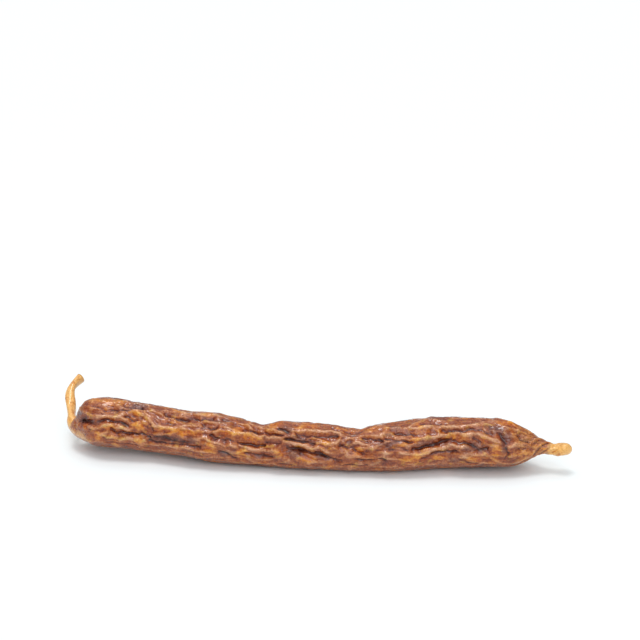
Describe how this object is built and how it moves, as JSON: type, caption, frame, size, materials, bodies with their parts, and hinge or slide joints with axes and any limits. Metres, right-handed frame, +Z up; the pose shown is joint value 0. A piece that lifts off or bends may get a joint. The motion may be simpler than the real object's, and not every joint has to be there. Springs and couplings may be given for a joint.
{
  "type": "kabanos",
  "caption": "Dried smoked sausage link, gently bent, with a deeply wrinkled casing, a free twisted casing strand at one tip and a twisted casing knob at the other.",
  "frame": {"origin": "bottom centre of the sausage's box, on the surface it lies on", "axes": "+X along the sausage from the strand's tip to the knob's, +Z up, the bent belly towards -Y"},
  "size_m": [0.1622, 0.0294, 0.0182],
  "materials": {
    "casing": "semi-gloss wrinkled natural casing, browner in the folds, amber at the two twisted ends"
  },
  "bodies": {
    "root": {"kabanos": "casing"}
  },
  "joints": []
}
